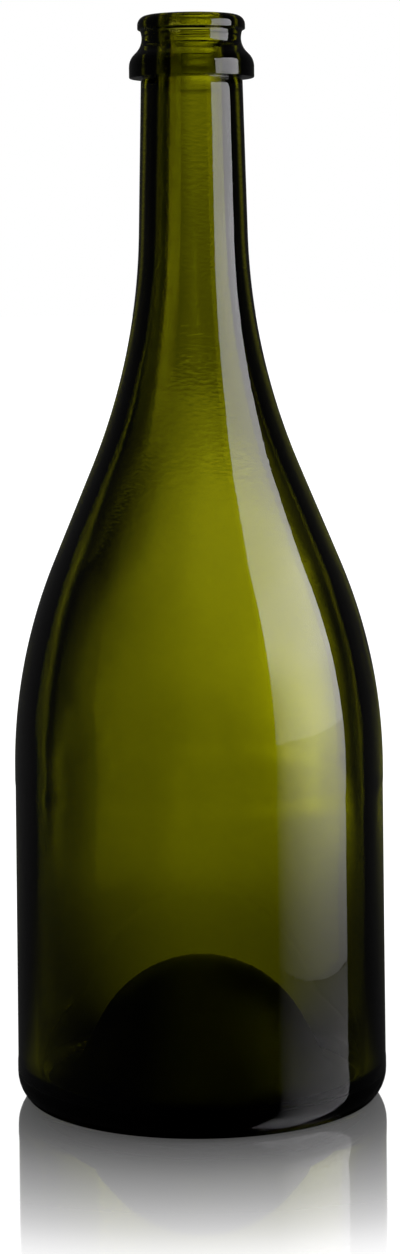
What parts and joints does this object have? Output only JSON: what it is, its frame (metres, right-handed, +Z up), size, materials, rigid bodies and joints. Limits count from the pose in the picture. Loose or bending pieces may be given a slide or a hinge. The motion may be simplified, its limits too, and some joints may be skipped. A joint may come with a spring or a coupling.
{
  "type": "champagne bottle",
  "caption": "Empty, open sparkling-wine bottle in dark olive glass, with a wide body, long sloping shoulders, a beaded and collared mouth, and a deep punt in the base.",
  "frame": {"origin": "centre of the base, on the surface that the bottle stands on", "axes": "+Z up the bottle's axis, from the base to the mouth"},
  "size_m": [0.0974, 0.0974, 0.2848],
  "materials": {
    "green_glass": "polished, transparent, dark olive green all through"
  },
  "bodies": {
    "root": {"bottle": "green_glass"}
  },
  "joints": []
}
